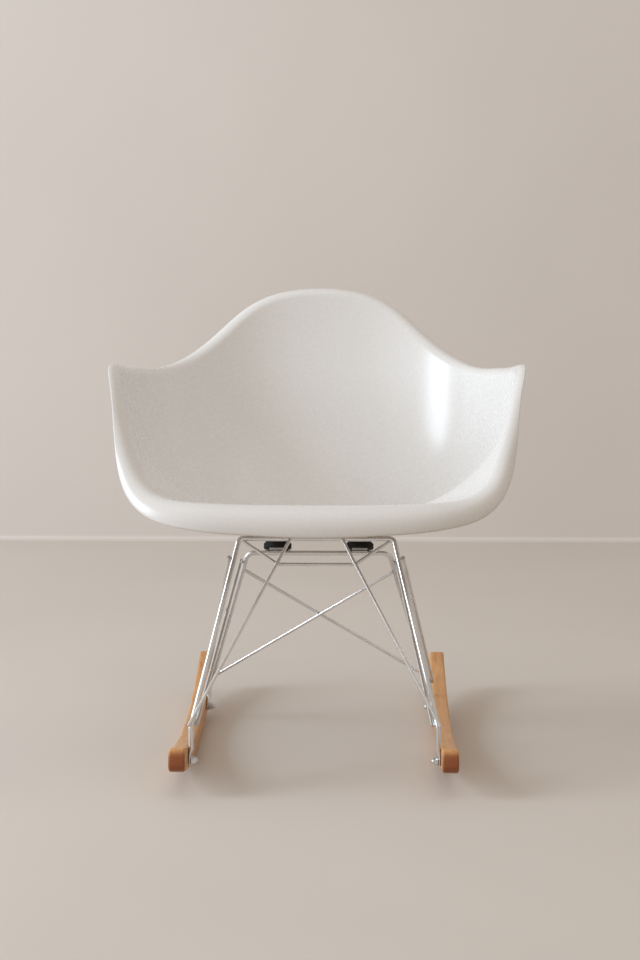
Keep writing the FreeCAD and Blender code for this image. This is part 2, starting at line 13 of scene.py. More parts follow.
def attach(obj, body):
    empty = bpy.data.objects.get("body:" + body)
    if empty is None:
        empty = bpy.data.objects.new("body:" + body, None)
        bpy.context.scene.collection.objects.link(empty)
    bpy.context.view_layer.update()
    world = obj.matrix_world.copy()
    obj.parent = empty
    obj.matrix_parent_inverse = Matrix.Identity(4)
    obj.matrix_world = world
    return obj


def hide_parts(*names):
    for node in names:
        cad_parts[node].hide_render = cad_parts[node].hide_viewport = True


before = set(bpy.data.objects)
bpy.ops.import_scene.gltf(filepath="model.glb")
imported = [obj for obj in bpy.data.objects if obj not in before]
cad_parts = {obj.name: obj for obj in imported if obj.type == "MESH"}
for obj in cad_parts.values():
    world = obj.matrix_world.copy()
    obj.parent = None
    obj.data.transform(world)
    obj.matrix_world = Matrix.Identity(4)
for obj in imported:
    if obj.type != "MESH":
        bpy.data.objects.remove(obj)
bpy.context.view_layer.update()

MM = 0.001
NEAR = 0.01 * MM
BODY = "root"

Piece = bpy.types.Object
Material = bpy.types.Material
Node = bpy.types.Node
Socket = bpy.types.NodeSocket
Color = tuple[float, float, float]
Place = tuple[float, float, float]
Test = Callable[[Vector, Vector], bool]

log = logging.getLogger("rocking_chair")


class Slot(Enum):
    """Finish slots of the record."""

    SHELL = "shell_plastic"
    ZINC = "zinc_wire"
    FASTENER = "fastener_steel"
    BRASS = "insert_brass"
    RUBBER = "pad_rubber"
    WOOD = "runner_wood"


class Side(Enum):
    """The two sides of the chair, as seen from the front."""

    LEFT = -1
    RIGHT = 1


@dataclass(frozen=True)
class Layout:
    """Sizes that several sub-assemblies share: the seat, and the runners with the bolts' Y and Z.

    Lengths are in millimetres and angles in degrees.
    """

    seat_height: float = 341.5
    seat_tilt: float = 17.3
    runner_face: float = 185.0
    front_bolt: tuple[float, float] = (-268.0, 39.0)
    rear_bolt: tuple[float, float] = (132.0, 22.5)


LAYOUT = Layout()


# Work at the bench: small steps on the piece in hand.

def drop_selection() -> None:
    """Leave edit mode and select nothing."""
    if bpy.context.object and bpy.context.object.mode != "OBJECT":
        bpy.ops.object.mode_set(mode="OBJECT")
    bpy.ops.object.select_all(action="DESELECT")


def take(piece: Piece) -> None:
    """Make a piece the only one selected and the active one.

    Args:
        piece: The object to work on.
    """
    drop_selection()
    piece.select_set(True)
    bpy.context.view_layer.objects.active = piece


def edit_mesh(piece: Piece) -> bmesh.types.BMesh:
    """Open a piece in edit mode with nothing selected.

    Args:
        piece: The object to open.

    Returns:
        Its mesh, open for selecting.
    """
    take(piece)
    bpy.ops.object.mode_set(mode="EDIT")
    bpy.ops.mesh.select_all(action="DESELECT")
    return bmesh.from_edit_mesh(piece.data)


def pick(piece: Piece, kind: str, wanted: Test) -> None:
    """Select the faces or edges of an open piece that pass a test, and nothing else.

    Args:
        piece: The object, in edit mode.
        kind: FACE or EDGE.
        wanted: A test that takes a face's middle and its normal, or an edge's two ends.
    """
    mesh = bmesh.from_edit_mesh(piece.data)
    bpy.ops.mesh.select_mode(type=kind)
    bpy.ops.mesh.select_all(action="DESELECT")
    if kind == "FACE":
        found = [face for face in mesh.faces if wanted(face.calc_center_median(), face.normal)]
    else:
        found = [edge for edge in mesh.edges if wanted(edge.verts[0].co, edge.verts[1].co)]
    for item in found:
        item.select_set(True)
    bmesh.update_edit_mesh(piece.data)


def settle(piece: Piece, name: str) -> None:
    """Put a finished piece's place into its mesh and turn its faces outwards.

    Args:
        piece: The object to finish.
        name: Its name.
    """
    take(piece)
    bpy.ops.object.transform_apply(location=True, rotation=True, scale=True)
    edit_mesh(piece)
    bpy.ops.mesh.select_all(action="SELECT")
    bpy.ops.mesh.remove_doubles(threshold=NEAR / 10)
    bpy.ops.mesh.normals_make_consistent(inside=False)
    drop_selection()
    piece.name = name
    piece.data.name = name


def smooth(piece: Piece, degrees: float = 40.0) -> None:
    """Shade a piece smooth across edges flatter than an angle.

    Args:
        piece: The object to shade.
        degrees: The angle above which an edge stays crisp.
    """
    take(piece)
    bpy.ops.object.shade_smooth_by_angle(angle=math.radians(degrees))
    drop_selection()


def apply_modifier(piece: Piece, kind: str, **settings: object) -> None:
    """Add one modifier and apply it.

    Args:
        piece: The object that gets it.
        kind: Blender's name for the modifier.
        **settings: Its settings.
    """
    take(piece)
    modifier = piece.modifiers.new(kind.lower(), kind)
    for key, value in settings.items():
        setattr(modifier, key, value)
    bpy.ops.object.modifier_apply(modifier=modifier.name)
    drop_selection()


def other_side(piece: Piece, name: str) -> Piece:
    """Copy a piece and mirror the copy to the other side of the chair.

    Args:
        piece: The finished piece.
        name: The copy's name.

    Returns:
        The copy, with its own mesh.
    """
    copy = piece.copy()
    copy.data = piece.data.copy()
    bpy.context.scene.collection.objects.link(copy)
    copy.data.transform(Matrix.Scale(-1, 4, Vector((1, 0, 0))))
    copy.data.flip_normals()
    copy.name = name
    copy.data.name = name
    return copy


def plain_form(add: Callable[..., set[str]], **settings: object) -> Piece:
    """Add one of Blender's plain forms with its place and size put into its mesh.

    Args:
        add: Blender's tool for the form.
        **settings: Its settings.

    Returns:
        The object.
    """
    drop_selection()
    add(**settings)
    piece = bpy.context.object
    bpy.ops.object.transform_apply(location=True, rotation=True, scale=True)
    return piece


def extrude(step: Vector) -> None:
    """Extrude what is selected straight on, by a step in metres."""
    bpy.ops.mesh.extrude_region_move(TRANSFORM_OT_translate={"value": step, "orient_type": "GLOBAL"})


def face_towards(piece: Piece, face: bpy.types.MeshPolygon, way: Vector) -> None:
    """Turn an open piece's faces round if they look the wrong way.

    Args:
        piece: The object.
        face: The face to judge by.
        way: Where that face has to look.
    """
    if face.normal.dot(way) < 0:
        edit_mesh(piece)
        bpy.ops.mesh.select_all(action="SELECT")
        bpy.ops.mesh.flip_normals()
        drop_selection()


# Finishes

class Mixing:
    """One material while it is put together."""

    def __init__(self, name: str) -> None:
        """Start with Blender's own shader and output.

        Args:
            name: The material's name.
        """
        self.material = bpy.data.materials.new(name)
        self.material.use_nodes = True
        self.tree = self.material.node_tree
        self.shader = self.find("BSDF_PRINCIPLED")

    def find(self, kind: str) -> Node:
        """Return the material's node of this type."""
        return next(node for node in self.tree.nodes if node.type == kind)

    def fill(self, node: Node, **inputs: object) -> None:
        """Fill a node's inputs.

        Args:
            node: The node.
            **inputs: A value or another node's output for each input. An underscore in its name
                stands for a space.
        """
        for name, value in inputs.items():
            socket = node.inputs[name.replace("_", " ")]
            if isinstance(value, Socket):
                self.tree.links.new(value, socket)
            else:
                socket.default_value = value

    def add(self, kind: str, **inputs: object) -> Node:
        """Add a node.

        Args:
            kind: Its type, without the words in front.
            **inputs: What goes into its inputs.

        Returns:
            The node.
        """
        node = self.tree.nodes.new("ShaderNode" + kind)
        self.fill(node, **inputs)
        return node

    def work_out(self, operation: str, *sources: Socket) -> Socket:
        """Add a sum.

        Args:
            operation: Blender's name for it.
            *sources: The one or two values that it takes.

        Returns:
            Its result.
        """
        node = self.add("Math")
        node.operation = operation
        for source, socket in zip(sources, node.inputs):
            self.tree.links.new(source, socket)
        return node.outputs["Value"]

    def noise(self, scale: tuple[float, float, float], detail: float, rough: float = 0.5) -> Socket:
        """Add noise on the piece's own coordinates.

        Args:
            scale: Noise cells per metre along X, Y and Z.
            detail: Octaves of the noise.
            rough: How strong the finer octaves are.

        Returns:
            The noise value.
        """
        place = self.add("TexCoord").outputs["Object"]
        mapping = self.add("Mapping", Vector=place, Scale=scale)
        return self.add("TexNoise", Vector=mapping.outputs["Vector"], Scale=1.0, Detail=detail,
                        Roughness=rough).outputs["Fac"]

    def ramp(self, source: Socket, *stops: tuple[float, Color]) -> Socket:
        """Add a colour ramp.

        Args:
            source: The value that picks the colour.
            *stops: Positions and colours.

        Returns:
            The colour.
        """
        node = self.add("ValToRGB", Fac=source)
        points = node.color_ramp.elements
        while len(points) < len(stops):
            points.new(0.5)
        for point, (position, color) in zip(points, stops):
            point.position = position
            point.color = (*color, 1.0)
        return node.outputs["Color"]

    def blend(self, share: Socket, first: object, second: object) -> Socket:
        """Return a blend of two colours, in which this share of the second one shows."""
        return self.add("MixRGB", Fac=share, Color1=first, Color2=second).outputs["Color"]

    def spread(self, source: Socket, low: float, high: float) -> Socket:
        """Return a noise value spread between two limits."""
        return self.add("MapRange", Value=source, From_Min=0.3, From_Max=0.7, To_Min=low,
                        To_Max=high).outputs["Result"]

    def bump(self, height: Socket, strength: float, distance: float) -> Socket:
        """Return the normal of a surface raised by a height value, over a distance in metres."""
        return self.add("Bump", Height=height, Strength=strength, Distance=distance).outputs["Normal"]


@dataclass(frozen=True)
class Finish:
    """A surface finish with the settings that all finishes share."""

    name: str
    color: Color
    roughness: float = 0.5
    metallic: float = 0.0
    coat: float = 0.0
    specular: float = 0.5

    def start(self) -> Mixing:
        """Begin the material with its even values set on the shader.

        Returns:
            The material while it is put together.
        """
        mixing = Mixing(self.name)
        mixing.fill(mixing.shader, Base_Color=(*self.color, 1.0), Roughness=self.roughness,
                    Metallic=self.metallic, Specular_IOR_Level=self.specular, Coat_Weight=self.coat,
                    Coat_Roughness=0.15)
        return mixing


@dataclass(frozen=True)
class MouldedPlastic(Finish):
    """Satin white plastic with the faint unevenness of a moulded sheet."""

    shade: Color = (0.853, 0.852, 0.848)

    def build(self) -> Material:
        """Mix the plastic: a fine grain in its tone, a soft sheen and a faint skin.

        Returns:
            The material.
        """
        mixing = self.start()
        grain = mixing.noise((420.0, 420.0, 420.0), 2.0)
        sheen = mixing.noise((160.0, 160.0, 160.0), 1.0)
        skin = mixing.noise((55.0, 55.0, 55.0), 1.0)
        mixing.fill(mixing.shader, Base_Color=mixing.ramp(grain, (0.3, self.shade), (0.7, self.color)),
                    Roughness=mixing.spread(sheen, self.roughness - 0.005, self.roughness + 0.01),
                    Normal=mixing.bump(skin, 0.01, 0.0002))
        return mixing.material


@dataclass(frozen=True)
class PlatedSteel(Finish):
    """Bright zinc on drawn rod, a little uneven in tone and gloss."""

    shade: Color = (0.72, 0.73, 0.745)
    metallic: float = 1.0

    def build(self) -> Material:
        """Mix the plating: patches of tone and of gloss along the rod.

        Returns:
            The material.
        """
        mixing = self.start()
        patch = mixing.noise((35.0, 35.0, 12.0), 2.0)
        gloss = mixing.noise((120.0, 120.0, 30.0), 1.0)
        mixing.fill(mixing.shader, Base_Color=mixing.ramp(patch, (0.3, self.shade), (0.6, self.color)),
                    Roughness=mixing.spread(gloss, self.roughness - 0.02, self.roughness + 0.03),
                    Normal=mixing.bump(gloss, 0.02, 0.00005))
        return mixing.material


@dataclass(frozen=True)
class VarnishedWood(Finish):
    """Varnished hardwood with its grain along the runner, darker where the grain ends at the noses.

    Between end_starts and end_full, distances in metres from the middle of the chair, the wood
    darkens.
    """

    dark: Color = (0.52, 0.225, 0.07)
    middle: Color = (0.69, 0.34, 0.115)
    end: Color = (0.36, 0.105, 0.028)
    end_starts: float = 0.328
    end_full: float = 0.3385

    def build(self) -> Material:
        """Mix the wood: its figure, its pores and its sawn ends.

        Returns:
            The material.
        """
        mixing = self.start()
        figure = mixing.noise((120.0, 5.0, 120.0), 5.0, 0.6)
        along = mixing.ramp(figure, (0.28, self.dark), (0.45, self.middle), (0.72, self.color))
        layers = mixing.noise((140.0, 60.0, 900.0), 3.0, 0.6)
        darker = tuple(value * 0.75 for value in self.end)
        sawn = mixing.ramp(layers, (0.3, darker), (0.65, self.end))
        pores = mixing.noise((900.0, 22.0, 900.0), 2.0)
        mixing.fill(mixing.shader, Base_Color=mixing.blend(self.end_share(mixing), along, sawn),
                    Roughness=mixing.spread(pores, self.roughness - 0.05, self.roughness + 0.1),
                    Normal=mixing.bump(pores, 0.18, 0.0003))
        return mixing.material

    def end_share(self, mixing: Mixing) -> Socket:
        """Work out how far a point lies in the nose.

        Args:
            mixing: The material.

        Returns:
            0 along the runner and 1 at its end faces.
        """
        split = mixing.add("SeparateXYZ", Vector=mixing.add("TexCoord").outputs["Object"])
        away = mixing.work_out("ABSOLUTE", split.outputs["Y"])
        share = mixing.add("MapRange", Value=away, From_Min=self.end_starts, From_Max=self.end_full)
        share.interpolation_type = "SMOOTHSTEP"
        return share.outputs["Result"]


@dataclass(frozen=True)
class Rubber(Finish):
    """Black rubber with a fine matt skin."""

    bloom: Color = (0.02, 0.019, 0.018)

    def build(self) -> Material:
        """Mix the rubber: a dusty bloom over a fine skin.

        Returns:
            The material.
        """
        mixing = self.start()
        dust = mixing.noise((90.0, 90.0, 90.0), 3.0)
        skin = mixing.noise((1500.0, 1500.0, 1500.0), 2.0)
        mixing.fill(mixing.shader, Base_Color=mixing.ramp(dust, (0.3, self.color), (0.75, self.bloom)),
                    Normal=mixing.bump(skin, 0.3, 0.0001))
        return mixing.material


@dataclass(frozen=True)
class Surround(Finish):
    """Even paint of the floor or the wall, which can be seen through from behind.

    What it throws back onto the chair is held down, as by a floor that lies in shade.
    """

    thrown_back: Color = (0.5, 0.5, 0.5)

    def build(self) -> Material:
        """Mix the paint, seen from its front alone.

        Returns:
            The material.
        """
        mixing = self.start()
        lighter = tuple(min(1.0, value * 1.05) for value in self.color)
        paint = mixing.ramp(mixing.noise((1.5, 1.5, 1.5), 2.0), (0.3, self.color), (0.7, lighter))
        path = mixing.add("LightPath")
        seen = path.outputs["Is Camera Ray"]
        for name in ("Is Glossy Ray", "Is Transmission Ray"):
            seen = mixing.work_out("MAXIMUM", seen, path.outputs[name])
        mixing.fill(mixing.shader, Base_Color=mixing.blend(seen, (*self.thrown_back, 1.0), paint))
        either = mixing.add("MixShader", Fac=mixing.add("NewGeometry").outputs["Backfacing"])
        clear = mixing.add("BsdfTransparent")
        for surface, socket in zip((mixing.shader, clear), list(either.inputs)[1:]):
            mixing.tree.links.new(surface.outputs["BSDF"], socket)
        mixing.fill(mixing.find("OUTPUT_MATERIAL"), Surface=either.outputs["Shader"])
        return mixing.material


@dataclass
class Finishes:
    """Every finish of the chair, by its record slot."""

    made: dict[Slot, Material] = field(default_factory=dict)

    def mix(self) -> None:
        """Make every material once."""
        brass_shade = (0.5, 0.35, 0.15)
        self.made = {
            Slot.SHELL: MouldedPlastic("white_plastic", (0.86, 0.86, 0.855), 0.27).build(),
            Slot.ZINC: PlatedSteel("bright_zinc", (0.82, 0.83, 0.84), 0.25).build(),
            Slot.FASTENER: PlatedSteel("plated_fasteners", (0.66, 0.67, 0.68), 0.28).build(),
            Slot.BRASS: PlatedSteel("plain_brass", (0.72, 0.53, 0.24), 0.35, shade=brass_shade).build(),
            Slot.RUBBER: Rubber("black_rubber", (0.01, 0.01, 0.01), 0.7, specular=0.2).build(),
            Slot.WOOD: VarnishedWood("varnished_wood", (0.82, 0.44, 0.17), 0.4, coat=0.15).build(),
        }

    def dress(self, piece: Piece, slot: Slot) -> None:
        """Give a piece the finish of this slot."""
        piece.data.materials.clear()
        piece.data.materials.append(self.made[slot])

    def hand_over(self, piece: Piece, slot: Slot, *nodes: str) -> None:
        """Finish a piece and put it on the chair in place of its CAD nodes.

        Args:
            piece: The object.
            slot: Its finish slot.
            *nodes: The nodes that it stands for.
        """
        self.dress(piece, slot)
        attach(piece, BODY)
        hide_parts(*nodes)
        triangles = sum(len(face.vertices) - 2 for face in piece.data.polygons)
        log.info("%s: %d triangles", piece.name, triangles)


# Seat shell

class ClosedLine:
    """Smooth closed line through values, numbers or vectors, each at its knot."""

    passes = 40

    def __init__(self, values: list[float] | list[Vector], knots: list[float]) -> None:
        """Work out the slopes.

        Args:
            values: Numbers or vectors.
            knots: Their places along the line, and the length of the whole line.
        """
        self.values = values
        self.knots = knots
        count = len(values)
        gaps = [high - low for low, high in zip(knots, knots[1:])]
        self.slopes = [(values[(i + 1) % count] - values[i - 1]) * (1 / (gaps[i - 1] + gaps[i]))
                       for i in range(count)]
        for _ in range(self.passes):
            for i in range(count):
                low, high, after = 1 / gaps[i - 1], 1 / gaps[i], (i + 1) % count
                pull = ((values[i] - values[i - 1]) * (3 * low * low)
                        + (values[after] - values[i]) * (3 * high * high))
                pull = pull - self.slopes[i - 1] * low - self.slopes[after] * high
                self.slopes[i] = pull * (0.5 / (low + high))

    def at(self, along: float) -> tuple[float, float] | tuple[Vector, Vector]:
        """Read the line.

        Args:
            along: The place along the line.

        Returns:
            The value and the slope there.
        """
        along = along % self.knots[-1]
        i = max(k for k in range(len(self.values)) if self.knots[k] <= along)
        length = self.knots[i + 1] - self.knots[i]
        t = (along - self.knots[i]) / length
        here, after = self.values[i], self.values[(i + 1) % len(self.values)]
        leave, arrive = self.slopes[i], self.slopes[(i + 1) % len(self.values)]
        value = (here * ((1 + 2 * t) * (1 - t) ** 2) + after * (t * t * (3 - 2 * t))
                 + leave * (length * t * (1 - t) ** 2) + arrive * (length * t * t * (t - 1)))
        slope = ((after - here) * (6 * t * (1 - t) / length)
                 + leave * ((1 - t) * (1 - 3 * t)) + arrive * (t * (3 * t - 2)))
        return value, slope


@dataclass
class SeatShell:
    """The moulded shell: a rising seat, a back and two arms in one sheet with a rolled rim.

    Lengths are in millimetres. Each rim station holds X, Y, Z of the line where the wall starts to
    roll outwards, how far the seat floor runs out, the length over which it turns up, the radius of
    the roll and its angle.
    """

    seat_height: float = LAYOUT.seat_height
    seat_tilt: float = LAYOUT.seat_tilt
    wall: float = 4.5
    belly: float = 0.09
    disc_radius: float = 12.0
    spokes: int = 144
    wall_rings: int = 24
    roll_rings: int = 11
    first_ring: float = 0.05
    last_ring: float = 1.955
    boss_radius: float = 16.0
    boss_foot: float = -15.0
    boss_height: float = 20.0
    boss_edge: float = 0.8
    bore_radius: float = 4.55
    bore_depth: float = 10.0
    floor_steps: int = 40
    floor_reach: int = 36
    mounts: tuple[tuple[float, float], ...] = ((-65.0, -111.0), (65.0, -111.0), (-65.0, 59.5), (65.0, 59.5))
    stations: tuple[tuple[float, ...], ...] = (
        (0, -258, 416.0, 150, 60, 37.5, 115),
        (100, -257, 416.5, 153, 62, 35.0, 115),
        (174, -250, 418.5, 156, 70, 31.5, 115),
        (220, -236, 424.0, 160, 84, 26.5, 112),
        (250, -209, 444.0, 184, 92, 22, 108),
        (267, -178, 487.0, 230, 92, 19.5, 105),
        (283, -146, 540.0, 254, 88, 17.5, 100),
        (296.5, -112, 584.0, 262, 86, 14.5, 95),
        (299, -78, 591.0, 254, 88, 13.5, 94),
        (288, -12, 580.5, 238, 90, 14, 96),
        (268, 60, 571.0, 218, 90, 15, 98),
        (236, 133, 566.0, 190, 88, 15.5, 98),
        (199, 182, 580.5, 160, 84, 16, 98),
        (148, 226, 622.0, 135, 80, 16, 98),
        (96, 255, 665.0, 118, 78, 16, 100),
        (0, 268, 684.0, 107, 76, 16, 100),
    )

    def __post_init__(self) -> None:
        """Draw the rim and the sizes along it as closed lines."""
        left = tuple((-row[0],) + row[1:] for row in self.stations[-2:0:-1])
        rows = self.stations + left
        rim = [Vector(row[:3]) for row in rows]
        self.knots = [0.0]
        for here, after in zip(rim, rim[1:] + rim[:1]):
            self.knots.append(self.knots[-1] + (after - here).length)
        self.rim = ClosedLine(rim, self.knots)
        self.run, self.turn, self.roll, self.angle = (
            ClosedLine([float(row[column]) for row in rows], self.knots) for column in (3, 4, 5, 6))
        self.tilt = math.radians(self.seat_tilt)
        self.centre = Vector((0, 0, self.seat_height))

    def spoke(self, along: float) -> list[Vector]:
        """Find the control points of one line from the seat's middle out to the rim.

        Args:
            along: The place along the rim.

        Returns:
            Six control points.
        """
        rim = self.rim.at(along)[0]
        outwards = Vector((rim.x, rim.y, 0)).normalized()
        floor_way = outwards - Vector((0, 0, outwards.y * math.tan(self.tilt)))
        heel = self.centre + floor_way * self.run.at(along)[0]
        turn = self.turn.at(along)[0]
        wall_way = (rim - heel).normalized()
        start = heel - floor_way.normalized() * turn
        end = heel + wall_way * min(turn, 0.5 * (rim - heel).length)
        belly = (outwards - wall_way * outwards.dot(wall_way)).normalized()
        belly = belly * (self.belly * wall_way.z * (rim - end).length)
        return [self.centre, (self.centre + start) * 0.5, start, end, (end + rim) * 0.5 + belly, rim]

    @staticmethod
    def along_spoke(poles: list[Vector], out: float) -> Vector:
        """Read a smooth line through six control points.

        Args:
            poles: The control points.
            out: The place on the line, 0 at its start and 1 at its end.

        Returns:
            The point.
        """
        knots = (0, 0, 0, 0, 1, 2, 3, 3, 3, 3)
        t = min(3 * out, 3 - 1e-9)
        span = 3 + int(t)
        held = [poles[j + span - 3] for j in range(4)]
        for depth in range(1, 4):
            for j in range(3, depth - 1, -1):
                low, high = knots[j + span - 3], knots[j + 1 + span - depth]
                share = (t - low) / (high - low)
                held[j] = held[j - 1] * (1 - share) + held[j] * share
        return held[3]

    def point(self, along: float, out: float) -> Vector:
        """Find a point of the upper face.

        Args:
            along: The place along the rim.
            out: 0 to 1 on the wall, 1 to 2 on the rolled rim.

        Returns:
            The point in millimetres.
        """
        poles = self.spoke(along)
        if out <= 1:
            return self.along_spoke(poles, out)
        rim_way = self.rim.at(along)[1].normalized()
        wall_way = poles[5] - poles[4]
        wall_way = (wall_way - rim_way * wall_way.dot(rim_way)).normalized()
        outward = rim_way.cross(wall_way)
        radius = self.roll.at(along)[0]
        arc = math.radians(self.angle.at(along)[0]) * (out - 1)
        return poles[5] + wall_way * (radius * math.sin(arc)) + outward * (radius * (1 - math.cos(arc)))

    def outs(self) -> list[float]:
        """Space the rings from the seat's middle to the edge of the roll.

        Returns:
            Their places, up to 1 on the wall and up to 2 on the roll.
        """
        step = (1 - self.first_ring) / self.wall_rings
        wall = [self.first_ring + step * (i + 1) for i in range(self.wall_rings - 1)]
        roll = [1 + i / self.roll_rings for i in range(self.roll_rings)]
        return wall + roll + [self.last_ring, 2.0]

    def draw_sheet(self) -> Piece:
        """Extrude the sheet ring by ring from a small disc in the middle of the seat.

        Returns:
            The upper face as an open sheet.
        """
        sheet = plain_form(bpy.ops.mesh.primitive_circle_add, vertices=self.spokes,
                           radius=self.disc_radius * MM, fill_type="TRIFAN", location=(0, 0, 0))
        mesh = edit_mesh(sheet)
        places = [self.knots[-1] * i / self.spokes for i in range(self.spokes)]
        centre = min(mesh.verts, key=lambda vert: vert.co.length)
        centre.co = self.centre * MM
        ring = [vert for vert in mesh.verts if vert is not centre]
        ring.sort(key=lambda vert: math.atan2(vert.co.x, -vert.co.y) % (2 * math.pi))
        for vert, along in zip(ring, places):
            way = (self.spoke(along)[2] - self.centre).normalized()
            vert.co = (self.centre + way * self.disc_radius) * MM
        order = [vert.index for vert in ring]
        for out in self.outs():
            order = self.extrude_ring(sheet, order, [self.point(along, out) * MM for along in places])
        drop_selection()
        return sheet

    @staticmethod
    def extrude_ring(sheet: Piece, order: list[int], points: list[Vector]) -> list[int]:
        """Extrude the outer edge of the sheet and set the new ring in place.

        Args:
            sheet: The open sheet, in edit mode.
            order: The outer ring's points, in order.
            points: Where the new ring's points go, in the same order.

        Returns:
            The new ring's points, in order.
        """
        mesh = bmesh.from_edit_mesh(sheet.data)
        mesh.verts.ensure_lookup_table()
        bpy.ops.mesh.select_mode(type="EDGE")
        bpy.ops.mesh.select_all(action="DESELECT")
        outer = set(order)
        for edge in mesh.edges:
            if len(edge.link_faces) == 1 and edge.verts[0].index in outer:
                edge.select_set(True)
        bmesh.update_edit_mesh(sheet.data)
        bpy.ops.mesh.extrude_edges_move()
        mesh = bmesh.from_edit_mesh(sheet.data)
        mesh.verts.ensure_lookup_table()
        fresh = []
        for index, point in zip(order, points):
            vert = next(edge.other_vert(mesh.verts[index]) for edge in mesh.verts[index].link_edges
                        if edge.other_vert(mesh.verts[index]).select)
            vert.co = point
            fresh.append(vert.index)
        bmesh.update_edit_mesh(sheet.data)
        return fresh

    def make_boss(self, x: float, y: float, floor: list[Vector]) -> Piece:
        """Turn one boss with its bore and let its head follow the seat above it.

        Args:
            x: Its place across the seat.
            y: Its place along the seat.
            floor: Points of the seat's face, in the seat's own frame.

        Returns:
            The boss, reaching up to the middle of the wall above it.
        """
        boss = plain_form(bpy.ops.mesh.primitive_cylinder_add, vertices=48, radius=self.boss_radius * MM,
                          depth=self.boss_height * MM,
                          location=Vector((x, y, self.boss_foot + self.boss_height / 2)) * MM)
        edit_mesh(boss)
        pick(boss, "FACE", lambda spot, normal: normal.z < -0.9)
        bpy.ops.mesh.bevel(offset=self.boss_edge * MM, segments=3, affect="EDGES")
        pick(boss, "FACE", lambda spot, normal: normal.z < -0.99
             and abs(spot.z - self.boss_foot * MM) < NEAR)
        bpy.ops.mesh.inset(thickness=(self.boss_radius - self.boss_edge - self.bore_radius) * MM, depth=0)
        extrude(Vector((0, 0, self.bore_depth * MM)))
        mesh = bmesh.from_edit_mesh(boss.data)
        for vert in mesh.verts:
            if abs(vert.co.z - (self.boss_foot + self.boss_height) * MM) < NEAR:
                vert.co.z = (self.height_over(vert.co.x / MM, vert.co.y / MM, floor) - self.wall / 2) * MM
        bmesh.update_edit_mesh(boss.data)
        drop_selection()
        boss.data.transform(Matrix.Translation(self.centre * MM) @ Matrix.Rotation(-self.tilt, 4, "X"))
        settle(boss, "boss")
        return boss

    def seat_floor(self) -> list[Vector]:
        """Return points of the seat's face in the seat's own frame."""
        square = Matrix.Rotation(self.tilt, 3, "X")
        return [square @ (self.along_spoke(poles, j / self.floor_steps) - self.centre)
                for poles in (self.spoke(self.knots[-1] * i / self.spokes) for i in range(self.spokes))
                for j in range(1, self.floor_reach)]

    @staticmethod
    def height_over(x: float, y: float, floor: list[Vector]) -> float:
        """Return the mean height of the three points of the seat's face that are nearest."""
        near = sorted(floor, key=lambda spot: (spot.x - x) ** 2 + (spot.y - y) ** 2)[:3]
        return sum(spot.z for spot in near) / 3

    def build(self, finishes: Finishes) -> None:
        """Model the shell and put it on the chair.

        Args:
            finishes: The finishes.
        """
        sheet = self.draw_sheet()
        settle(sheet, "seat_shell_moulding")
        middle = min(sheet.data.polygons, key=lambda face: face.center.x ** 2 + face.center.y ** 2)
        face_towards(sheet, middle, Vector((0, 0, 1)))
        apply_modifier(sheet, "SOLIDIFY", thickness=self.wall * MM, offset=-1.0, use_even_offset=True,
                       use_quality_normals=True)
        apply_modifier(sheet, "SUBSURF", levels=1, render_levels=1)
        floor = self.seat_floor()
        bosses = [self.make_boss(x, y, floor) for x, y in self.mounts]
        take(sheet)
        for boss in bosses:
            boss.select_set(True)
        bpy.ops.object.join()
        smooth(sheet, degrees=50)
        finishes.hand_over(sheet, Slot.SHELL, "seat_shell")


# Wire base

@dataclass
class RoundRod:
    """A round rod bent at some of its points, drawn along its line from a disc."""

    name: str
    points: list[Vector]
    radii: list[float]
    diameter: float
    sides: int = 24
    bend_step: float = 6.0

    def build(self, keep_open: bool = False) -> Piece:
        """Draw the rod.

        Args:
            keep_open: Leave the piece in edit mode with its last end selected.

        Returns:
            The rod.
        """
        way = (self.points[1] - self.points[0]).normalized()
        rod = plain_form(bpy.ops.mesh.primitive_circle_add, vertices=self.sides,
                         radius=self.diameter / 2 * MM, fill_type="NGON", location=self.points[0] * MM,
                         rotation=way.to_track_quat("Z", "Y").to_euler())
        edit_mesh(rod)
        bpy.ops.mesh.select_mode(type="FACE")
        bpy.ops.mesh.select_all(action="SELECT")
        at = self.points[0]
        for before, corner, after, radius in zip(self.points, self.points[1:], self.points[2:], self.radii):
            back, ahead = (before - corner).normalized(), (after - corner).normalized()
            half = back.angle(ahead) / 2
            entry = corner + back * (radius / math.tan(half))
            centre = corner + (back + ahead).normalized() * (radius / math.sin(half))
            extrude((entry - at) * MM)
            self.swing(rod, centre, (-back).cross(ahead).normalized(), math.pi - 2 * half)
            at = corner + ahead * (radius / math.tan(half))
        extrude((self.points[-1] - at) * MM)
        if not keep_open:
            settle(rod, self.name)
            smooth(rod)
        return rod

    def swing(self, rod: Piece, centre: Vector, axis: Vector, angle: float) -> None:
        """Extrude the selected end round a bend.

        Args:
            rod: The rod, in edit mode.
            centre: The middle of the bend.
            axis: The line that the end turns about.
            angle: How far it turns.

        Raises:
            RuntimeError: If the end isn't where the bend should leave it.
        """
        steps = max(3, round(math.degrees(angle) / self.bend_step))
        start = self.end_of(rod)
        bpy.ops.mesh.spin(steps=steps, angle=angle, center=centre * MM, axis=-axis, use_auto_merge=False)
        goal = Matrix.Rotation(angle, 3, axis) @ (start - centre * MM) + centre * MM
        if (self.end_of(rod) - goal).length > 10 * NEAR:
            raise RuntimeError(f"{self.name}: the bend went the wrong way")

    @staticmethod
    def end_of(rod: Piece) -> Vector:
        """Return the middle of the selected end."""
        spots = [vert.co for vert in bmesh.from_edit_mesh(rod.data).verts if vert.select]
        return sum(spots, Vector()) / len(spots)


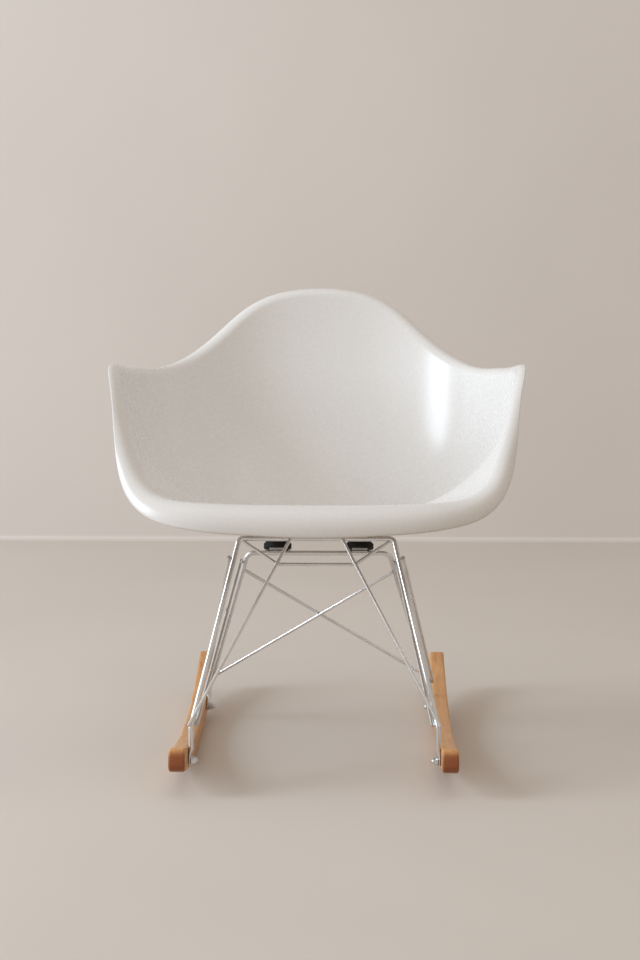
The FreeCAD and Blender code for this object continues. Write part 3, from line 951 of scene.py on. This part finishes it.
@dataclass
class Leg:
    """Centre line of one sloping leg, from its upper corner to the bend above its foot."""

    corner: Vector
    bend: Vector

    @property
    def way(self) -> Vector:
        """Return the direction down the leg."""
        return (self.bend - self.corner).normalized()

    @property
    def slope(self) -> Vector:
        """Return the direction down the leg as the side view shows it."""
        return (self.way - Vector((self.way.x, 0, 0))).normalized()

    @property
    def ahead(self) -> Vector:
        """Return the direction square to the slope, towards the front."""
        return -Vector((1, 0, 0)).cross(self.slope)

    def at(self, height: float) -> Vector:
        """Return the point of the line at this height."""
        return self.corner + self.way * ((height - self.corner.z) / self.way.z)


@dataclass
class Weld:
    """A weld at some height of a leg, against its outer or its inner side."""

    leg: Leg
    height: float
    outwards: bool = True


@dataclass
class WireBase:
    """The welded base: two bent frames, side braces, front wires and the crossing wires behind.

    Lengths are in millimetres.
    """

    seat_height: float = LAYOUT.seat_height
    seat_tilt: float = LAYOUT.seat_tilt
    bar_level: float = -34.5
    front_bar: float = -123.0
    rear_bar: float = 47.5
    front_half_width: float = 116.5
    rear_half_width: float = 112.0
    frame_rod: float = 8.0
    brace: float = 6.0
    wire: float = 5.0
    runner_face: float = LAYOUT.runner_face
    front_foot_y: float = LAYOUT.front_bolt[0]
    rear_foot_y: float = LAYOUT.rear_bolt[0]
    front_bend_z: float = 89.0
    rear_bend_z: float = 52.0
    foot_bend: float = 18.0
    front_corner: float = 9.0
    rear_corner: float = 15.0
    front_bolt_z: float = LAYOUT.front_bolt[1]
    rear_bolt_z: float = LAYOUT.rear_bolt[1]
    tab_width: float = 14.0
    tab_thickness: float = 4.0
    tab_length: float = 24.0
    pressed_length: float = 9.0
    press_shares: tuple[float, ...] = (0.25, 0.5, 0.75, 1.0)
    tip_turns: tuple[float, ...] = (0, 20, 40, 58, 72, 82, 88)
    gap: float = 0.05
    falling_front_z: float = 316.0
    falling_rear_z: float = 65.0
    rising_rear_z: float = 278.0
    rising_front_z: float = 95.0
    strut_top_x: float = 39.5
    strut_top_drop: float = 3.3
    strut_foot_z: float = 98.0
    strut_tail: float = 12.0
    zigzag_x: float = 58.0
    zigzag_drop: float = 41.0
    zigzag_bend: float = 10.0
    cross_top_z: float = 265.0
    cross_foot_z: float = 75.0
    cross_weld: float = 3.0
    lap_passes: int = 5

    def __post_init__(self) -> None:
        """Place the two legs of the right side."""
        foot_x = self.runner_face - self.frame_rod / 2
        self.front_leg = Leg(self.in_seat(self.front_half_width, self.front_bar),
                             Vector((foot_x, self.front_foot_y, self.front_bend_z)))
        self.rear_leg = Leg(self.in_seat(self.rear_half_width, self.rear_bar),
                            Vector((foot_x, self.rear_foot_y, self.rear_bend_z)))

    def in_seat(self, x: float, y: float) -> Vector:
        """Return the place of a point of the bars' level, given along the seat."""
        turned = Matrix.Rotation(-math.radians(self.seat_tilt), 3, "X") @ Vector((x, y, self.bar_level))
        return turned + Vector((0, 0, self.seat_height))

    def foot_top(self, bolt_z: float) -> float:
        """Return the height at which a foot starts to be pressed flat."""
        return bolt_z - self.tab_width / 2 + self.tab_length

    @staticmethod
    def mirror(points: list[Vector]) -> list[Vector]:
        """Return the points on the other side, in reverse order."""
        return [Vector((-point.x, point.y, point.z)) for point in reversed(points)]

    def press_foot(self, rod: Piece, side: Side, bolt_z: float) -> None:
        """Flatten the selected end of a rod and draw the tab down past its bolt.

        Args:
            rod: The rod, in edit mode, with one downward end selected.
            side: The side of the chair.
            bolt_z: The height of the bolt.
        """
        z = top = self.foot_top(bolt_z)
        x = side.value * (self.runner_face - self.frame_rod / 2)
        shift = side.value * (self.frame_rod - self.tab_thickness) / 2
        wide, thin = self.tab_width / self.frame_rod, self.tab_thickness / self.frame_rod
        for share in self.press_shares:
            ease = share * share * (3 - 2 * share)
            z = self.foot_ring(rod, x + shift * ease, top - self.pressed_length * share, z,
                               1 + (wide - 1) * ease, 1 + (thin - 1) * ease)
        for turn in self.tip_turns:
            lean = math.radians(turn)
            z = self.foot_ring(rod, x + shift, bolt_z - self.tab_width / 2 * math.sin(lean), z,
                               wide * math.cos(lean), thin)

    def foot_ring(self, rod: Piece, x: float, z: float, above: float, wide: float, thin: float) -> float:
        """Extrude the selected end down and give the new ring its width and thickness.

        Args:
            rod: The rod, in edit mode.
            x: The ring's middle across the chair.
            z: Its height.
            above: The height of the ring before it.
            wide: Its width along the chair, as a share of the rod's diameter.
            thin: Its thickness across the chair, as a share of the rod's diameter.

        Returns:
            The new ring's height.
        """
        extrude(Vector((0, 0, z - above)) * MM)
        spots = [vert.co for vert in bmesh.from_edit_mesh(rod.data).verts if vert.select]
        middle = sum(spots, Vector()) / len(spots)
        width = max(abs(spot.y - middle.y) for spot in spots) / (self.frame_rod / 2 * MM)
        depth = max(abs(spot.x - middle.x) for spot in spots) / (self.frame_rod / 2 * MM)
        bpy.ops.transform.resize(value=(thin / depth, wide / width, 1), center_override=middle)
        bpy.ops.transform.translate(value=(x * MM - middle.x, 0, 0))
        return z

    def frame_rod_piece(self, name: str, leg: Leg, corner: float, bolt_z: float) -> Piece:
        """Draw one frame: a bar, two legs and two pressed feet.

        Args:
            name: The piece's name.
            leg: Its right leg.
            corner: The bend radius at the bar's ends.
            bolt_z: The height of its bolts.

        Returns:
            The rod.
        """
        top = self.foot_top(bolt_z)
        right = [Vector((leg.bend.x, leg.bend.y, top)), leg.bend, leg.corner]
        radii = [self.foot_bend, corner, corner, self.foot_bend]
        rod = RoundRod(name, right + self.mirror(right), radii, self.frame_rod).build(keep_open=True)
        self.press_foot(rod, Side.LEFT, bolt_z)
        pick(rod, "FACE", lambda spot, normal: spot.x > 0 and abs(spot.z - top * MM) < NEAR
             and abs(normal.z) > 0.99)
        self.press_foot(rod, Side.RIGHT, bolt_z)
        settle(rod, name)
        smooth(rod)
        return rod

    def lapped(self, welds: list[Weld], diameter: float) -> list[Vector]:
        """Find the ends of a rod welded against the sides of two legs.

        Args:
            welds: Its two welds.
            diameter: The rod's diameter.

        Returns:
            The two ends, each half a diameter past its weld.
        """
        apart = (self.frame_rod + diameter) / 2 + self.gap
        ends = [weld.leg.at(weld.height) for weld in welds]
        for _ in range(self.lap_passes):
            way = (ends[1] - ends[0]).normalized()
            ends = []
            for weld in welds:
                off = weld.leg.way.cross(way).normalized() * apart
                ends.append(weld.leg.at(weld.height) + (off if (off.x > 0) == weld.outwards else -off))
        way = (ends[1] - ends[0]).normalized() * (diameter / 2)
        return [ends[0] - way, ends[1] + way]

    def front_wires(self) -> dict[str, list[Vector]]:
        """Find the points of the front strut and of the dipping wire.

        Returns:
            The right strut's ends and the dipping wire's points.
        """
        leg = self.front_leg
        bar = Vector((self.strut_top_x, leg.corner.y, leg.corner.z))
        top = bar + leg.ahead * (self.wire + self.gap) + leg.slope * self.strut_top_drop
        foot = leg.at(self.strut_foot_z) + leg.ahead * ((self.frame_rod + self.wire) / 2 + self.gap)
        way = (foot - top).normalized()
        low = Vector((self.zigzag_x, leg.corner.y, leg.corner.z)) + leg.slope * self.zigzag_drop
        inwards = (low - leg.corner).normalized()
        right = [leg.corner + inwards * (self.frame_rod / 2), low]
        return {"strut": [top, foot + way * self.strut_tail], "dip": right + self.mirror(right)}

    def cross_wire(self, side: Side) -> list[Vector]:
        """Find the ends of one wire of the cross behind.

        Args:
            side: The side that it rises to. The wire that rises to the right lies in front.

        Returns:
            Its two ends.
        """
        leg = self.rear_leg
        off = leg.ahead * (side.value * (self.wire + self.gap * 2) / 2)
        top, foot = leg.at(self.cross_top_z), leg.at(self.cross_foot_z)
        top.x, foot.x = top.x * side.value, -foot.x * side.value
        weld = (foot - top).normalized() * self.cross_weld
        return [top + off + weld, foot + off - weld]

    def build(self, finishes: Finishes) -> None:
        """Model every rod and wire and put them on the chair.

        Args:
            finishes: The finishes.
        """
        rods = {
            "front_frame_rod": self.frame_rod_piece("front_frame", self.front_leg, self.front_corner,
                                                    self.front_bolt_z),
            "rear_frame_rod": self.frame_rod_piece("rear_frame", self.rear_leg, self.rear_corner,
                                                   self.rear_bolt_z),
        }
        falling = [Weld(self.front_leg, self.falling_front_z), Weld(self.rear_leg, self.falling_rear_z)]
        rising = [Weld(self.rear_leg, self.rising_rear_z),
                  Weld(self.front_leg, self.rising_front_z, outwards=False)]
        front = self.front_wires()
        for name, points, diameter in (
                ("falling_side_brace", self.lapped(falling, self.brace), self.brace),
                ("rising_side_brace", self.lapped(rising, self.brace), self.brace),
                ("front_strut", front["strut"], self.wire)):
            right = RoundRod("right_" + name + "_rod", points, [], diameter).build()
            rods["right_" + name] = right
            rods["left_" + name] = other_side(right, "left_" + name + "_rod")
        for node, name, points, radii in (
                ("front_zigzag_strut", "front_dipping_wire", front["dip"], [self.zigzag_bend] * 2),
                ("rear_cross_strut_front", "cross_wire_front", self.cross_wire(Side.RIGHT), []),
                ("rear_cross_strut_back", "cross_wire_back", self.cross_wire(Side.LEFT), [])):
            rods[node] = RoundRod(name, points, radii, self.wire).build()
        for node, rod in rods.items():
            finishes.hand_over(rod, Slot.ZINC, node)


# Runners

@dataclass
class Runners:
    """The two curved wooden runners. Lengths are in millimetres."""

    inner_face: float = LAYOUT.runner_face
    width: float = 24.0
    thickness: float = 34.0
    radius: float = 1450.0
    length: float = 685.0
    nose: float = 13.0
    eased_edge: float = 3.5
    slices: int = 60
    bolts: tuple[tuple[float, float], ...] = (LAYOUT.front_bolt, LAYOUT.rear_bolt)
    counterbore: float = 6.5
    counterbore_depth: float = 4.0

    def bar(self) -> Piece:
        """Shape the straight bar with its round noses and eased edges.

        Returns:
            The bar, its underside at the height of the floor.
        """
        arc = 2 * self.radius * math.asin(self.length / 2 / self.radius)
        middle = Vector((self.inner_face + self.width / 2, 0, self.thickness / 2))
        bar = plain_form(bpy.ops.mesh.primitive_cube_add, size=1, location=middle * MM,
                         scale=Vector((self.width, arc, self.thickness)) * MM)
        edit_mesh(bar)
        pick(bar, "EDGE", lambda a, b: abs(a.x - b.x) > 0.5 * self.width * MM)
        bpy.ops.mesh.bevel(offset=self.nose * MM, segments=10, affect="EDGES")
        faces = (self.inner_face * MM, (self.inner_face + self.width) * MM)
        pick(bar, "EDGE", lambda a, b: abs(a.x - b.x) < NEAR
             and min(abs(a.x - face) for face in faces) < NEAR)
        bpy.ops.mesh.bevel(offset=self.eased_edge * MM, segments=5, affect="EDGES")
        for i in range(1, self.slices):
            place = (i / self.slices - 0.5) * (arc - 2 * self.nose) * MM
            bpy.ops.mesh.select_all(action="SELECT")
            bpy.ops.mesh.bisect(plane_co=(0, place, 0), plane_no=(0, 1, 0))
        drop_selection()
        return bar

    def bend(self, bar: Piece) -> None:
        """Lay the straight bar along the runner's arc.

        Args:
            bar: The straight bar.
        """
        for vert in bar.data.vertices:
            angle = vert.co.y / (self.radius * MM)
            out = self.radius * MM - vert.co.z
            vert.co.y = out * math.sin(angle)
            vert.co.z = self.radius * MM - out * math.cos(angle)

    def sink_bolts(self, bar: Piece) -> None:
        """Cut the counterbores in the outer face.

        Args:
            bar: The curved bar.
        """
        outer = self.inner_face + self.width
        for y, z in self.bolts:
            cutter = plain_form(bpy.ops.mesh.primitive_cylinder_add, vertices=48,
                                radius=self.counterbore * MM, depth=2 * self.counterbore_depth * MM,
                                location=Vector((outer, y, z)) * MM, rotation=(0, math.pi / 2, 0))
            apply_modifier(bar, "BOOLEAN", operation="DIFFERENCE", solver="EXACT", object=cutter)
            bpy.data.objects.remove(cutter)

    def build(self, finishes: Finishes) -> None:
        """Model both runners and put them on the chair.

        Args:
            finishes: The finishes.
        """
        bar = self.bar()
        self.bend(bar)
        self.sink_bolts(bar)
        settle(bar, "right_runner_wood")
        smooth(bar, degrees=30)
        left = other_side(bar, "left_runner_wood")
        finishes.hand_over(bar, Slot.WOOD, "right_runner")
        finishes.hand_over(left, Slot.WOOD, "left_runner")


# Small pieces that keep their own shape

@dataclass
class SmallPieces:
    """Pads, plates, inserts and fasteners, which keep the shape that they have."""

    corners: tuple[str, ...] = ("front_left", "front_right", "rear_left", "rear_right")
    fasteners: tuple[str, ...] = ("mount_screws", "mount_screw_washers", "runner_bolts", "runner_washers",
                                  "runner_cap_nuts")

    def build(self, finishes: Finishes) -> None:
        """Give each piece its finish.

        Args:
            finishes: The finishes.
        """
        slots = {"thread_inserts": Slot.BRASS}
        slots.update({corner + "_mounting_pad": Slot.RUBBER for corner in self.corners})
        slots.update({corner + "_mount_plate": Slot.ZINC for corner in self.corners})
        slots.update({name: Slot.FASTENER for name in self.fasteners})
        for node, slot in slots.items():
            finishes.dress(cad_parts[node], slot)
            log.info("%s: %s", node, slot.value)


# Room, light and camera

@dataclass(frozen=True)
class Lamp:
    """A soft rectangular lamp: where it hangs, what it points at, its size, watts and colour."""

    name: str
    place: Place
    target: Place
    size: tuple[float, float]
    power: float
    color: Color

    def hang(self) -> None:
        """Put the lamp in the room."""
        light = bpy.data.lights.new(self.name, "AREA")
        light.shape = "RECTANGLE"
        light.size, light.size_y = self.size
        light.energy = self.power
        light.color = self.color
        lamp = bpy.data.objects.new(self.name, light)
        lamp.location = self.place
        lamp.rotation_euler = (Vector(self.target) - Vector(self.place)).to_track_quat("-Z", "Y").to_euler()
        bpy.context.scene.collection.objects.link(lamp)


@dataclass
class Studio:
    """A pale floor and wall, soft light and the camera. Lengths are in metres."""

    focal_length: float = 86.918
    camera_place: Place = (0.069146, -3.569881, 0.930458)
    camera_yaw: float = 0.0185
    camera_pitch: float = -0.14312
    wall_y: float = 1.87
    wall_height: float = 5.0
    floor_front: float = -6.0
    half_width: float = 8.0
    cove: float = 0.012
    paints: tuple[Surround, ...] = (
        Surround("floor_paint", (0.72, 0.675, 0.63), 0.7, thrown_back=(0.42, 0.34, 0.27)),
        Surround("wall_paint", (0.81, 0.77, 0.735), 0.8, thrown_back=(0.62, 0.57, 0.52)),
    )
    sky: Color = (1.0, 0.885, 0.77)
    sky_strength: float = 0.55
    lamps: tuple[Lamp, ...] = (
        Lamp("window_left", (-5.0, -1.1, 2.2), (0.1, 0.0, 0.4), (2.1, 2.9), 196.0, (0.80, 0.90, 1.0)),
        Lamp("soft_top", (0.0, -0.4, 3.2), (0.0, 0.0, 0.4), (2.6, 2.6), 9.0, (0.88, 0.94, 1.0)),
    )

    def build_room(self) -> None:
        """Lay the floor and raise the wall behind it."""
        room = plain_form(bpy.ops.mesh.primitive_plane_add, size=1, location=(0, 0, 0))
        mesh = edit_mesh(room)
        for vert in mesh.verts:
            vert.co.x = self.half_width if vert.co.x > 0 else -self.half_width
            vert.co.y = self.wall_y if vert.co.y > 0 else self.floor_front
        pick(room, "EDGE", lambda a, b: min(a.y, b.y) > self.wall_y - NEAR)
        extrude(Vector((0, 0, self.wall_height)))
        pick(room, "EDGE", lambda a, b: max(a.z, b.z) < NEAR and min(a.y, b.y) > self.wall_y - NEAR)
        bpy.ops.mesh.bevel(offset=self.cove, segments=8, affect="EDGES")
        drop_selection()
        room.name = "room_floor_and_wall"
        for paint in self.paints:
            room.data.materials.append(paint.build())
        for face in room.data.polygons:
            face.material_index = 1 if face.center.z > self.cove / 2 else 0
        face_towards(room, room.data.polygons[0], Vector((0, -1, 1)))

    def light(self) -> None:
        """Set the world and the lamps."""
        world = bpy.data.worlds.new("soft_room")
        bpy.context.scene.world = world
        world.use_nodes = True
        shade = world.node_tree.nodes["Background"]
        shade.inputs["Color"].default_value = (*self.sky, 1.0)
        shade.inputs["Strength"].default_value = self.sky_strength
        for lamp in self.lamps:
            lamp.hang()

    def aim(self) -> None:
        """Set the camera where the photographer stood."""
        lens = bpy.data.cameras.new("camera")
        lens.lens = self.focal_length
        lens.sensor_width = 36.0
        camera = bpy.data.objects.new("camera", lens)
        camera.location = self.camera_place
        camera.rotation_euler = (math.pi / 2 + self.camera_pitch, 0.0, self.camera_yaw)
        bpy.context.scene.collection.objects.link(camera)
        bpy.context.scene.camera = camera

    def build(self) -> None:
        """Set up the room, the light, the camera and the plain view."""
        self.build_room()
        self.light()
        self.aim()
        bpy.context.scene.view_settings.view_transform = "Standard"


def main() -> None:
    """Build the chair and its room, and log the triangle counts and finishes of the pieces."""
    logging.basicConfig(level=logging.INFO, format="%(message)s")
    finishes = Finishes()
    finishes.mix()
    for part in (SeatShell(), WireBase(), Runners(), SmallPieces()):
        log.info("building %s", type(part).__name__)
        part.build(finishes)
    Studio().build()
    drop_selection()


if __name__ == "__main__":
    main()
